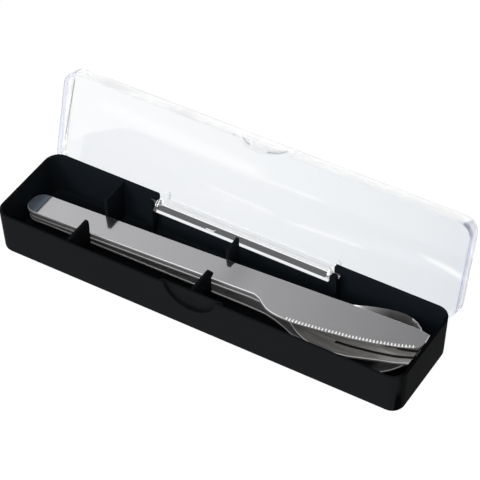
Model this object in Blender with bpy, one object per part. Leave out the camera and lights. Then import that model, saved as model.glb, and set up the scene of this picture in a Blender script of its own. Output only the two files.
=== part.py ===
"""Cutlery case: a black tray with a clear lid on a snap-in hinge, holding a knife, a fork and a spoon.

Blender 4.5. The scene is in metres with +Z up. The origin is the centre of the tray's underside,
+X runs along the case and +Y points at the hinge. The lid stands open, against its stop.
Sizes below are in millimetres; MM turns them into metres.
"""

import math

import bmesh
import bpy
from mathutils import Matrix, Vector

MM = 0.001

# Tray
LENGTH = 220.0
WIDTH = 51.6
HEIGHT = 24.2
CORNER_R = 7.7
BASE_INSET = 1.3  # draft of the outer wall, measured at the underside
BASE_R = 2.0
WALL = 1.5
FLOOR = 1.8
INNER_R = 1.2
EDGE = 0.4  # chamfer on both edges of the rim
CORNER_STEPS = 8
BOND = 0.8  # how far a rib reaches into the wall or the floor that carries it

# Thumb recess in the front wall, and the groove that faces the catch
THUMB_R = 14.6
THUMB_DEPTH = 11.2
THUMB_SET = 1.8
PAD_HALF = 15.8
PAD_T = 1.1  # what is left of the wall and the pad behind the recess
GROOVE_DOWN = 5.2
GROOVE = (5.4, 1.4, 0.5)

# Hinge: the pin axis runs along X, inside the back wall and below the rim
AXIS_IN = 3.3
AXIS_DOWN = 4.4
AXIS_Y = WIDTH / 2 - AXIS_IN
AXIS_Z = HEIGHT - AXIS_DOWN
OPEN_DEG = 106.0
PIN_R = 1.2
PIN_GAP = 0.3
FLANGE_HALF = 48.0
FLANGE_T = 1.6
FLANGE_DROP = 3.2  # the flange's edge lies this far below the axis when the lid is shut
EAR_T = 1.6
EAR_R = 2.2
ARM_REACH = 9.6  # from the pin axis to the arm's end
NOTCH_GAP = 0.4
NOTCH_DROP = 4.2  # the notch's bottom lies this far below the axis: the open lid's stop
NOTCH_R = 1.5
POST_GAP = 0.6
POST_W = 3.7
POST_T = 2.1
POST_DOWN = 1.4
PIN_SHORT = 0.5  # the pin ends this far inside the post's outer face

# Cradle ribs
RIB_T = 1.5
RIB_DOWN = 0.5
CRADLE_X = (-67.8, 0.1)  # right face of each front fin
CRADLE_GAP = 0.65
SADDLE_GAP = 0.3

# Lid, in its closed position
LID_GAP = 0.3
LID_DEPTH = 8.5
LID_TOP = HEIGHT + LID_GAP + LID_DEPTH
LID_WALL = 1.5
LID_PANEL = 1.4
LID_EDGE_R = 1.2
LID_LEAD = 0.8  # inner chamfer of the skirt, which clears the rim as the lid swings
TAB_R = 13.8
TAB_DROP = 5.8
TAB_T = 1.2
NUB = 0.3

# Cutlery
STACK_GAP = 0.3
TILT = 0.0515  # rise of the knife and the fork per millimetre of length
KNIFE_TOP = 17.8  # top of the knife's handle at x = 0
KNIFE_T = 2.5
BLADE_T = 1.1
KNIFE_LEFT = -107.4
FORK_T = 1.4
SPOON_T = 1.4
HANDLE_Y = 0.75
HANDLE_HALF = 6.85


def clear_scene():
    """Remove whatever the startup scene holds."""
    for obj in list(bpy.data.objects):
        bpy.data.objects.remove(obj, do_unlink=True)
    for mesh in list(bpy.data.meshes):
        bpy.data.meshes.remove(mesh)


def collection(name, hidden=False):
    """Return a new collection linked to the scene."""
    made = bpy.data.collections.new(name)
    bpy.context.scene.collection.children.link(made)
    made.hide_render = hidden
    return made


def material(name, colour, roughness, metallic=0.0, alpha=1.0):
    """Return a Principled material."""
    made = bpy.data.materials.new(name)
    made.use_nodes = True
    shader = made.node_tree.nodes["Principled BSDF"]
    shader.inputs["Base Color"].default_value = (*colour, 1.0)
    shader.inputs["Roughness"].default_value = roughness
    shader.inputs["Metallic"].default_value = metallic
    shader.inputs["Alpha"].default_value = alpha
    made.diffuse_color = (*colour, alpha)
    return made


def object_of(bm, name, into, look=None):
    """Turn a bmesh in millimetres into an object in metres."""
    bmesh.ops.remove_doubles(bm, verts=bm.verts, dist=1e-4)
    bmesh.ops.recalc_face_normals(bm, faces=bm.faces)
    if bm.calc_volume(signed=True) < 0:
        bmesh.ops.reverse_faces(bm, faces=bm.faces)
    bmesh.ops.scale(bm, vec=(MM, MM, MM), verts=bm.verts)
    mesh = bpy.data.meshes.new(name)
    bm.to_mesh(mesh)
    bm.free()
    made = bpy.data.objects.new(name, mesh)
    into.objects.link(made)
    if look:
        mesh.materials.append(look)
    return made


def boolean(target, helper, operation):
    """Add one exact Boolean to the target; the helper stays out of the render."""
    helper.hide_render = True
    helper.display_type = "WIRE"
    modifier = target.modifiers.new(helper.name, "BOOLEAN")
    modifier.solver = "EXACT"
    modifier.operation = operation
    modifier.object = helper


def rounded_ring(half_x, half_y, radius, z):
    """Points of a rounded rectangle, counter-clockwise from the front right corner."""
    points = []
    centres = ((1, -1, -90), (1, 1, 0), (-1, 1, 90), (-1, -1, 180))
    for sx, sy, start in centres:
        for step in range(CORNER_STEPS + 1):
            angle = math.radians(start + 90 * step / CORNER_STEPS)
            x = sx * (half_x - radius) + radius * math.cos(angle)
            y = sy * (half_y - radius) + radius * math.sin(angle)
            points.append((x, y, z))
    return points


def loft(rings):
    """Skin closed rings of equal length and cap both ends."""
    bm = bmesh.new()
    rows = [[bm.verts.new(point) for point in ring] for ring in rings]
    count = len(rows[0])
    for low, high in zip(rows, rows[1:]):
        for i in range(count):
            j = (i + 1) % count
            bm.faces.new((low[i], low[j], high[j], high[i]))
    bm.faces.new(list(reversed(rows[0])))
    bm.faces.new(rows[-1])
    return bm


def prism(outline, axis, low, high):
    """Extrude a 2-D outline along an axis: the outline holds the two other coordinates in order."""

    def place(pair, along):
        values = list(pair)
        values.insert("xyz".index(axis), along)
        return tuple(values)

    return loft([[place(pair, low) for pair in outline], [place(pair, high) for pair in outline]])


def block(x, y, z):
    """A box from three (low, high) pairs."""
    outline = [(x[0], y[0]), (x[1], y[0]), (x[1], y[1]), (x[0], y[1])]
    return prism(outline, "z", z[0], z[1])


def arc(centre, radius, start, end, steps):
    """Points along an arc, angles in degrees."""
    points = []
    for step in range(steps + 1):
        angle = math.radians(start + (end - start) * step / steps)
        points.append((centre[0] + radius * math.cos(angle), centre[1] + radius * math.sin(angle)))
    return points


def smooth(table, at):
    """Cubic interpolation through the (position, value) pairs of a table, flat beyond its ends."""
    if at <= table[0][0]:
        return table[0][1]
    if at >= table[-1][0]:
        return table[-1][1]
    index = max(i for i in range(len(table) - 1) if table[i][0] <= at)
    (x0, y0), (x1, y1) = table[index], table[index + 1]

    def slope(i):
        low, high = max(i - 1, 0), min(i + 1, len(table) - 1)
        return (table[high][1] - table[low][1]) / (table[high][0] - table[low][0])

    span = x1 - x0
    t = (at - x0) / span
    first = (2 * t**3 - 3 * t**2 + 1) * y0 + (t**3 - 2 * t**2 + t) * span * slope(index)
    last = (3 * t**2 - 2 * t**3) * y1 + (t**3 - t**2) * span * slope(index + 1)
    return first + last


def wall_inset(z):
    """How far the drafted outer wall stands inside the rim's outline at height z."""
    return BASE_INSET * (1 - z / HEIGHT)


def tray_shell():
    """The open box: drafted walls, rounded base, chamfered rim."""
    half_x, half_y = LENGTH / 2, WIDTH / 2
    rings = []

    def ring(inset, z):
        rings.append(rounded_ring(half_x - inset, half_y - inset, CORNER_R - inset, z))

    for step in range(4, -1, -1):
        angle = math.radians(90 * step / 4)
        z = BASE_R * (1 - math.sin(angle))
        ring(wall_inset(BASE_R) + BASE_R * (1 - math.cos(angle)), z)
    ring(wall_inset(HEIGHT - EDGE), HEIGHT - EDGE)
    ring(EDGE, HEIGHT)
    ring(WALL - EDGE, HEIGHT)
    ring(WALL + wall_inset(HEIGHT - EDGE), HEIGHT - EDGE)
    for step in range(4):
        angle = math.radians(90 * step / 3)
        z = FLOOR + INNER_R * (1 - math.sin(angle))
        ring(WALL + wall_inset(FLOOR + INNER_R) + INNER_R * (1 - math.cos(angle)), z)
    return loft(rings)


def thumb_face(z):
    """Where the thumb recess ends in y, at height z."""
    return -WIDTH / 2 + THUMB_SET + wall_inset(z)


def thumb_cutter():
    """A disc sunk into the front wall; its inner face follows the wall's draft."""
    centre_z = HEIGHT - THUMB_DEPTH + THUMB_R
    outer, inner = [], []
    for step in range(48):
        angle = 2 * math.pi * step / 48
        x = THUMB_R * math.cos(angle)
        z = centre_z + THUMB_R * math.sin(angle)
        outer.append((x, -WIDTH / 2 - 4, z))
        inner.append((x, thumb_face(z), z))
    return loft([outer, inner])


def groove_cutter():
    """A shallow lens-shaped groove in the floor of the thumb recess."""
    width, height, depth = GROOVE
    rings = []
    centre_z = HEIGHT - GROOVE_DOWN
    face = thumb_face(centre_z)
    for y, share in ((face - 1, 1.0), (face, 1.0), (face + depth, 0.55)):
        ring = []
        for step in range(20):
            angle = 2 * math.pi * step / 20
            x = width / 2 * share * math.cos(angle)
            ring.append((x, y, centre_z + height / 2 * share * math.sin(angle)))
        rings.append(ring)
    return loft(rings)


def notch_cutter():
    """The gap in the back wall for the hinge flange, with rounded top corners."""
    half, low = FLANGE_HALF + NOTCH_GAP, AXIS_Z - NOTCH_DROP
    right = [(half - 0.5, low), (half, low + 0.5)]
    right += arc((half + NOTCH_R, HEIGHT - NOTCH_R), NOTCH_R, 180, 90, 5)
    right += [(half + NOTCH_R, HEIGHT + 3)]
    left = [(-x, z) for x, z in reversed(right)]
    return prism(right + left, "y", AXIS_Y, WIDTH / 2 + 3)


def post(side):
    """A hinge column: a slot for the pin between its rounded front and the back wall."""
    near = FLANGE_HALF + POST_GAP
    low, high = sorted((side * near, side * (near + POST_W)))
    round_r = POST_W / 2 - 0.05
    foot = FLOOR - BOND
    outline = [(low, foot), (high, foot)]
    outline += arc(((low + high) / 2, HEIGHT - POST_DOWN - round_r), round_r, 0, 180, 8)
    back = AXIS_Y - PIN_R - PIN_GAP
    front = prism(outline, "y", back - POST_T, back)
    web_top = AXIS_Z - PIN_R - PIN_GAP
    web_y = (back - POST_T + 0.5, WIDTH / 2 - WALL + BOND / 2)
    return front, block((low + 0.1, high - 0.1), web_y, (foot + 0.1, web_top))


def fin_edge():
    """Where the fins end in y: a gap beside the handles."""
    return HANDLE_Y - HANDLE_HALF - CRADLE_GAP


def fin_profile(hook):
    """Side profile (y, z) of a front fin; the hook keeps the knife's handle down."""
    wall, edge, top = -WIDTH / 2 + WALL - 0.1, fin_edge(), HEIGHT - RIB_DOWN
    foot = FLOOR - BOND
    outline = [(wall, foot), (edge, foot)]
    if hook:
        over = KNIFE_TOP + STACK_GAP
        outline += [(edge, over), (edge + 1.85, over + 0.9), (edge + 2.15, over + 1.6)]
        outline += [(edge + 1.75, over + 2.5), (edge - 0.45, top - 0.2)]
    else:
        outline += [(edge, top - 2.9), (edge - 0.55, top - 0.3)]
    return outline + [(edge - 1.15, top), (wall, top)]


def stack_under(x):
    """Height of the spoon handle's underside at x."""
    return spoon_top(x) - SPOON_T


def cradles(tray, helpers):
    """Two rib pairs hold the handles; a low saddle joins each pair under the stack."""
    handle = HANDLE_Y + HANDLE_HALF + CRADLE_GAP
    back_edge = (handle + 0.45, handle)
    back_end = (WIDTH / 2 - WALL + 0.3, AXIS_Y - 4.7)
    foot = FLOOR - BOND
    for index, right in enumerate(CRADLE_X):
        name = f"cradle_{index + 1}"
        fin = prism(fin_profile(index == 1), "x", right - RIB_T, right)
        boolean(tray, object_of(fin, name + "_fin", helpers), "UNION")
        shift = 0.5 * index
        front, end = back_edge[index], back_end[index]
        top = HEIGHT - RIB_DOWN + 0.3 * index
        outline = [(front, foot), (end, foot), (end, top)]
        outline += [(front + 0.5, top - index), (front, top - 0.5 - index)]
        plate = prism(outline, "x", right - RIB_T + shift, right + shift)
        boolean(tray, object_of(plate, name + "_plate", helpers), "UNION")
        saddle_z = stack_under(right) - SADDLE_GAP
        across = (right - RIB_T + shift + 0.1, right - 0.1)
        saddle = block(across, (fin_edge() - 1, front + 1), (foot + 0.1, saddle_z))
        boolean(tray, object_of(saddle, name + "_saddle", helpers), "UNION")


def make_tray(into, helpers, look):
    """The tray with its cradles, hinge posts, notch and thumb recess."""
    tray = object_of(tray_shell(), "tray", into, look)
    inside = thumb_face(HEIGHT) + PAD_T
    buried = -WIDTH / 2 + WALL - 0.6
    slope = [(-PAD_HALF - 1.6, buried), (PAD_HALF + 1.6, buried), (PAD_HALF + 1.6, buried + 0.3)]
    slope += [(PAD_HALF, inside), (-PAD_HALF, inside), (-PAD_HALF - 1.6, buried + 0.3)]
    lean = math.tan(math.radians(1.0))
    rings = []
    for z in (FLOOR - BOND, HEIGHT - 0.15):
        low = 0.4 if z < FLOOR else 0.0
        rings.append([(x, y + lean * (HEIGHT - z) + low, z) for x, y in slope])
    boolean(tray, object_of(loft(rings), "thumb_pad", helpers), "UNION")
    cradles(tray, helpers)
    for side, name in ((-1, "left"), (1, "right")):
        front, web = post(side)
        boolean(tray, object_of(web, f"post_web_{name}", helpers), "UNION")
        boolean(tray, object_of(front, f"post_front_{name}", helpers), "UNION")
    boolean(tray, object_of(notch_cutter(), "notch_cut", helpers), "DIFFERENCE")
    boolean(tray, object_of(thumb_cutter(), "thumb_cut", helpers), "DIFFERENCE")
    boolean(tray, object_of(groove_cutter(), "groove_cut", helpers), "DIFFERENCE")
    return tray


def lid_shell():
    """The lid's panel and skirt, closed, as one shell."""
    half_x, half_y = LENGTH / 2, WIDTH / 2
    low = HEIGHT + LID_GAP
    rings = []

    def ring(inset, z):
        rings.append(rounded_ring(half_x - inset, half_y - inset, max(CORNER_R - inset, 0.8), z))

    for step in range(4, -1, -1):
        angle = math.radians(90 * step / 4)
        z = LID_TOP - LID_EDGE_R * (1 - math.sin(angle))
        ring(LID_EDGE_R * (1 - math.cos(angle)), z)
    ring(0, low + 0.2)
    ring(0.2, low)
    ring(LID_WALL - LID_LEAD, low)
    ring(LID_WALL, low + LID_LEAD)
    ring(LID_WALL, LID_TOP - LID_PANEL - 0.8)
    ring(LID_WALL + 0.25, LID_TOP - LID_PANEL - 0.2)
    ring(LID_WALL + 0.8, LID_TOP - LID_PANEL)
    return loft(rings)


def tab_outline():
    """The thumb tab (x, z): a circle segment hanging from the front skirt."""
    centre = (0.0, HEIGHT - TAB_DROP + TAB_R)
    top = HEIGHT + LID_GAP + 1.0
    reach = math.degrees(math.asin((centre[1] - top) / TAB_R))
    return arc(centre, TAB_R, 180 + reach, 360 - reach, 24)


def ear_outline():
    """Profile (y, z) of an ear: a round boss at the pin and an arm up inside the skirt."""
    back, foot, end = AXIS_Y + PIN_R + 0.8, AXIS_Z - FLANGE_DROP + 0.2, AXIS_Z + ARM_REACH
    outline = [(back, foot), (back, end), (AXIS_Y - 2.3, end), (AXIS_Y - 2.9, end - 0.6)]
    outline += [(AXIS_Y - 2.9, AXIS_Z + 4.6), (AXIS_Y - 1.9, AXIS_Z + 2.4)]
    outline += arc((AXIS_Y, AXIS_Z), EAR_R, 165, 280, 9)
    outline += [(AXIS_Y + 0.6, foot)]
    return outline


def make_lid(into, helpers, look):
    """The clear lid, built closed and turned open about the pin axis."""
    lid = object_of(lid_shell(), "lid", into, look)
    near, foot = AXIS_Y + PIN_R, AXIS_Z - FLANGE_DROP
    tall = (foot, HEIGHT + LID_GAP + 2.0)
    flange = block((-FLANGE_HALF, FLANGE_HALF), (near, near + FLANGE_T), tall)
    boolean(lid, object_of(flange, "flange", helpers), "UNION")
    tab = prism(tab_outline(), "y", -WIDTH / 2 + 0.02, -WIDTH / 2 + TAB_T)
    boolean(lid, object_of(tab, "tab", helpers), "UNION")
    inside = -WIDTH / 2 + TAB_T
    level = HEIGHT - GROOVE_DOWN
    nub = block((-2.0, 2.0), (inside - 0.4, inside + NUB), (level - 0.35, level + 0.35))
    boolean(lid, object_of(nub, "catch_nub", helpers), "UNION")
    bump = block((-19.0, -14.6), (near - 0.6, near + 0.5), (foot + 0.3, foot + 2.3))
    boolean(lid, object_of(bump, "flange_nub", helpers), "UNION")
    for side, name in ((-1, "left"), (1, "right")):
        outer = side * (FLANGE_HALF - 0.1)
        inner = side * (FLANGE_HALF - EAR_T)
        ear = prism(ear_outline(), "x", min(outer, inner), max(outer, inner))
        boolean(lid, object_of(ear, f"ear_{name}", helpers), "UNION")
        tip = FLANGE_HALF + POST_GAP + POST_W - PIN_SHORT
        ends = sorted((side * tip, side * (FLANGE_HALF - 0.8)))
        pin = prism(arc((AXIS_Y, AXIS_Z), PIN_R, 0, 345, 23), "x", ends[0], ends[1])
        boolean(lid, object_of(pin, f"pin_{name}", helpers), "UNION")
    return lid


def open_lid(lid, helpers, into):
    """Turn the lid and its helpers about the hinge, under an empty on the axis."""
    hinge = bpy.data.objects.new("lid_hinge", None)
    hinge.empty_display_size = 0.01
    hinge.location = (0, AXIS_Y * MM, AXIS_Z * MM)
    into.objects.link(hinge)
    for obj in [lid, *helpers.objects]:
        obj.parent = hinge
        obj.matrix_parent_inverse = Matrix.Translation(-Vector(hinge.location))
    hinge.rotation_euler = (math.radians(-OPEN_DEG), 0, 0)


def knife_top(x):
    """Height of the knife's flat top at x."""
    return KNIFE_TOP + TILT * x


def knife_outline():
    """Plan outline (x, y) of the knife, counter-clockwise from the handle's front."""
    front = [(23.0, -6.1), (26.3, -7.3), (29.0, -9.4), (32.8, -11.9)]
    front += [(36.5, -13.1), (40.5, -13.7), (46.4, -14.1)]
    edge = [(52.0, -13.7), (64.0, -12.3), (76.1, -10.7), (87.5, -8.4), (98.7, -5.3), (104.7, -2.9)]
    end = [(106.6, -1.6), (107.4, 0.2), (107.6, 2.7), (107.2, 7.2)]
    back = [(101.5, 8.5), (91.0, 8.7), (65.0, 8.6), (39.3, 8.1), (-43.0, 7.6)]
    cap = []
    for step in range(17):
        turn = math.radians(90 + 180 * step / 16)
        along, across = (math.copysign(abs(v) ** 0.86, v) for v in (math.cos(turn), math.sin(turn)))
        cap.append((KNIFE_LEFT + HANDLE_HALF * (1 + along), HANDLE_Y + HANDLE_HALF * across))
    return cap + [(-35.0, -6.1)] + front + edge + end + back


def make_knife(into, look):
    """A flat knife: thick handle, thin blade; the step lies on its underside."""
    outline = knife_outline()
    bevel = 0.25

    def thickness(x):
        share = min(max((x - 22.0) / 26.0, 0.0), 1.0)
        return KNIFE_T + (BLADE_T - KNIFE_T) * share * share * (3 - 2 * share)

    def inward(index, by):
        before, here, after = (Vector(outline[(index + k) % len(outline)]) for k in (-1, 0, 1))
        along = (after - before).normalized()
        normal = Vector((-along.y, along.x))
        return here + normal * by

    rings = []
    for inset, share in ((bevel, 1.0), (0.0, 0.85), (0.0, 0.15), (bevel, 0.0)):
        ring = []
        for index in range(len(outline)):
            point = inward(index, inset)
            x = outline[index][0]
            ring.append((point.x, point.y, knife_top(x) - thickness(x) * (1 - share)))
        rings.append(ring)
    return object_of(loft(rings), "knife", into, look)


def grid_solid(stations, rows, top, under):
    """A closed sheet over a grid: top and under give the height at (x, y)."""
    bm = bmesh.new()
    layers = []
    for height in (top, under):
        layer = []
        for x, half, centre in stations:
            line = []
            for row in range(rows + 1):
                v = -1 + 2 * row / rows
                line.append(bm.verts.new((x, centre + half * v, height(x, v))))
            layer.append(line)
        layers.append(layer)
    upper, lower = layers
    last = len(stations) - 1
    for i in range(last):
        for j in range(rows):
            bm.faces.new((upper[i][j], upper[i + 1][j], upper[i + 1][j + 1], upper[i][j + 1]))
            bm.faces.new((lower[i][j], lower[i][j + 1], lower[i + 1][j + 1], lower[i + 1][j]))
        bm.faces.new((upper[i][0], lower[i][0], lower[i + 1][0], upper[i + 1][0]))
        bm.faces.new((upper[i][rows], upper[i + 1][rows], lower[i + 1][rows], lower[i][rows]))
    for j in range(rows):
        bm.faces.new((upper[0][j], upper[0][j + 1], lower[0][j + 1], lower[0][j]))
        bm.faces.new((upper[last][j], lower[last][j], lower[last][j + 1], upper[last][j + 1]))
    return bm


def stations_of(widths, centre, left, right, cap, count, tip):
    """Stations (x, half width, centre) from a round handle end to a round tip."""
    xs = [left + 0.03]
    for step in range(1, 9):
        xs.append(left + cap * (1 - math.cos(math.radians(90 * step / 8))))
    body = right - tip - (left + cap)
    for step in range(1, count + 1):
        xs.append(left + cap + body * step / count)
    if tip:
        for step in range(1, 8):
            xs.append(right - tip + tip * math.sin(math.radians(90 * step / 8)))
        xs.append(right - 0.03)
    found = []
    for x in xs:
        half = smooth(widths, x)
        if x < left + cap:
            u = (left + cap - x) / cap
            half *= math.sqrt(max(1 - u * u, 0.0))
        if tip and x > right - tip:
            u = (x - right + tip) / tip
            half *= math.sqrt(max(1 - u * u, 0.0))
        found.append((x, half, centre(x)))
    return found


# Spoon tables: (x, rim height), (x, half width before the round tip), (x, depth of the bowl)
SPOON_RISE = ((-107, 7.75), (-92, 8.45), (-60, 8.95), (0, 9.6), (30, 9.8))
SPOON_RISE += ((46, 8.9), (60, 9.5), (76, 11.8), (90, 14.3), (105, 16.4))
SPOON_WIDE = ((-107, 6.9), (0, 7.0), (28, 7.3), (38, 9.2), (48, 13.0))
SPOON_WIDE += ((62, 18.0), (76, 21.0), (86, 21.3), (105, 21.3))
SPOON_DEEP = ((34, 0.0), (46, 1.8), (60, 5.3), (70, 7.1), (76, 8.0))
SPOON_DEEP += ((84, 8.5), (92, 7.2), (100, 4.0), (104.9, 0.6))


def spoon_top(x):
    """Height of the spoon's rim line at x."""
    return smooth(SPOON_RISE, x)


def make_spoon(into, look):
    """The spoon: a flat handle running into a deep oval bowl."""

    def centre(x):
        return 0.6 + 0.65 * min(max((x - 10) / 70, 0), 1)

    def top(x, v):
        bowl = smooth(SPOON_DEEP, x) * (1 - v * v) ** 0.8
        return spoon_top(x) - bowl

    def under(x, v):
        return top(x, v) - SPOON_T

    stations = stations_of(SPOON_WIDE, centre, -106.9, 104.9, 6.9, 34, 21.5)
    return object_of(grid_solid(stations, 14, top, under), "spoon", into, look)


# Fork tables: (x, half width), (x, height of the head above the line of the handle)
FORK_WIDE = ((-107, 6.9), (0, 6.95), (26, 7.05), (36, 8.0), (41, 8.8), (44.9, 9.9))
FORK_WIDE += ((48.5, 12.0), (53.1, 13.5), (57.5, 14.4), (62, 14.8), (68, 14.6))
FORK_WIDE += ((72, 14.3), (78, 13.5), (90, 10.5), (106, 8.7))
FORK_SAG = ((-107, 0.0), (0, 0.0), (22, 0.0), (34, -0.9), (44, -2.4), (54, -4.2))
FORK_SAG += ((62, -4.9), (70, -5.0), (78, -4.7), (88, -4.1), (98, -2.75), (106, -0.4))
FORK_SIDE = ((-107, 0.75), (0, 0.75), (22, 0.7), (36, 0.3), (48, -0.6), (58, -1.15), (106, -1.15))
FORK_DISH = 0.5
FORK_ROOT = 68.4  # where the slots between the tines begin
FORK_SLOT = ((110, 0.95), (106, 0.95), (76, 0.8))


def fork_top(x):
    """Height of the fork's edges at x."""
    return knife_top(x) - KNIFE_T - STACK_GAP + smooth(FORK_SAG, x)


def fork_side(x):
    """Middle line (y) of the fork at x: the head lies a little towards the front."""
    return smooth(FORK_SIDE, x)


def make_fork(into, helpers, look):
    """The fork: a flat handle and a broad head with three slots."""

    def top(x, v):
        dish = FORK_DISH * min(max((x - 34) / 30, 0), 1)
        return fork_top(x) - dish * (1 - v * v)

    def under(x, v):
        return top(x, v) - FORK_T

    stations = stations_of(FORK_WIDE, fork_side, -107.0, 105.6, 6.85, 44, 0)
    fork = object_of(grid_solid(stations, 14, top, under), "fork", into, look)
    for index, share in enumerate((-0.535, 0.0, 0.535)):
        outline = []
        for x, half in FORK_SLOT:
            outline.append((x, fork_side(x) + share * smooth(FORK_WIDE, x) - half))
        root_y = fork_side(FORK_ROOT) + share * smooth(FORK_WIDE, FORK_ROOT)
        outline += [(x, y) for x, y in arc((FORK_ROOT, root_y), 0.9, 270, 90, 6)]
        for x, half in reversed(FORK_SLOT):
            outline.append((x, fork_side(x) + share * smooth(FORK_WIDE, x) + half))
        slot = object_of(prism(outline, "z", 5, 40), f"slot_{index + 1}", helpers)
        boolean(fork, slot, "DIFFERENCE")
    return fork


def main():
    """Build the case."""
    clear_scene()
    bpy.context.scene.unit_settings.system = "METRIC"
    parts = collection("parts")
    tray_helpers = collection("tray_helpers", hidden=True)
    lid_helpers = collection("lid_helpers", hidden=True)
    fork_helpers = collection("fork_helpers", hidden=True)
    black = material("matte_black_plastic", (0.018, 0.018, 0.021), 0.5)
    clear = material("clear_plastic", (0.88, 0.91, 0.95), 0.08, alpha=0.25)
    steel = material("stainless_steel", (0.62, 0.61, 0.60), 0.25, metallic=1.0)
    make_tray(parts, tray_helpers, black)
    lid = make_lid(parts, lid_helpers, clear)
    open_lid(lid, lid_helpers, parts)
    make_knife(parts, steel)
    make_fork(parts, fork_helpers, steel)
    make_spoon(parts, steel)


main()
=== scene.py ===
"""Looks of a black cutlery case with a clear hinged lid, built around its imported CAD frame.

Every object is in metres, in the frame of the CAD: the origin is the centre of the tray's underside,
+X runs along the case, +Y points at the hinge and +Z up. The lid stands open against its stop.
"""

import logging
import math
from dataclasses import dataclass, field
from enum import Enum
from functools import reduce
from operator import add
from typing import Any, Callable, Iterable, Sequence

import bmesh
import bpy
from mathutils import Matrix, Vector


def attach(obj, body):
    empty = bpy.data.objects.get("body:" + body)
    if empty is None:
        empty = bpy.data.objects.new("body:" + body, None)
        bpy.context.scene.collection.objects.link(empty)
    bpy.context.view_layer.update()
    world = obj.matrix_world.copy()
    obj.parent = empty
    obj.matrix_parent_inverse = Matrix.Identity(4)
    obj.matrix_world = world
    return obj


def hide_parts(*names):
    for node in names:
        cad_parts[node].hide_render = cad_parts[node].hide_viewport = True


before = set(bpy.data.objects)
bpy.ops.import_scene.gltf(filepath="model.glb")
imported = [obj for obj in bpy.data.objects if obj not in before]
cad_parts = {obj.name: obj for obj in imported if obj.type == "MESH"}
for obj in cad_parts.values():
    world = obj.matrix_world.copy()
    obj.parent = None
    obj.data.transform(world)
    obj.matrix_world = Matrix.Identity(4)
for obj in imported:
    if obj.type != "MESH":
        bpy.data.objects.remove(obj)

LOG = logging.getLogger("cutlery_case")
MM = 0.001
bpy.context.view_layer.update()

Colour = tuple[float, float, float]
Point = tuple[float, float, float]
Pair = tuple[float, float]

BLACK: Colour = (0.0, 0.0, 0.0)


class Body(Enum):
    """The rigid bodies that pieces ride on."""

    CASE = "case"
    LID = "lid"


class Slot(Enum):
    """The record's material slots."""

    TRAY = "tray"
    LID = "lid"
    STEEL = "steel"


class Value:
    """A shader or geometry socket that takes part in Python expressions."""

    def __init__(self, tree: bpy.types.NodeTree, socket: bpy.types.NodeSocket) -> None:
        """Wrap one output socket of a tree."""
        self.tree = tree
        self.socket = socket

    def _math(self, operation: str, left: Any, right: Any = None) -> "Value":
        """Add one Math node.

        Args:
            operation: the Math node's operation.
            left: a Value or a number.
            right: a Value, a number or None for a function of one value.

        Returns:
            The node's result.
        """
        node = self.tree.nodes.new("ShaderNodeMath")
        node.operation = operation
        for socket, value in zip(node.inputs, (left, right)):
            if isinstance(value, Value):
                self.tree.links.new(value.socket, socket)
            elif value is not None:
                socket.default_value = float(value)
        return Value(self.tree, node.outputs[0])

    def __add__(self, other: Any) -> "Value":
        """Sum."""
        return self._math("ADD", self, other)

    __radd__ = __add__

    def __sub__(self, other: Any) -> "Value":
        """Difference."""
        return self._math("SUBTRACT", self, other)

    def __rsub__(self, other: Any) -> "Value":
        """Difference with a number on the left."""
        return self._math("SUBTRACT", other, self)

    def __mul__(self, other: Any) -> "Value":
        """Product."""
        return self._math("MULTIPLY", self, other)

    __rmul__ = __mul__

    def __truediv__(self, other: Any) -> "Value":
        """Quotient."""
        return self._math("DIVIDE", self, other)

    def __pow__(self, other: Any) -> "Value":
        """Power."""
        return self._math("POWER", self, other)

    def at_least(self, other: Any) -> "Value":
        """The larger of the two."""
        return self._math("MAXIMUM", self, other)

    def at_most(self, other: Any) -> "Value":
        """The smaller of the two."""
        return self._math("MINIMUM", self, other)

    def clamped(self) -> "Value":
        """The value held between 0 and 1."""
        return self.at_least(0.0).at_most(1.0)


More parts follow.
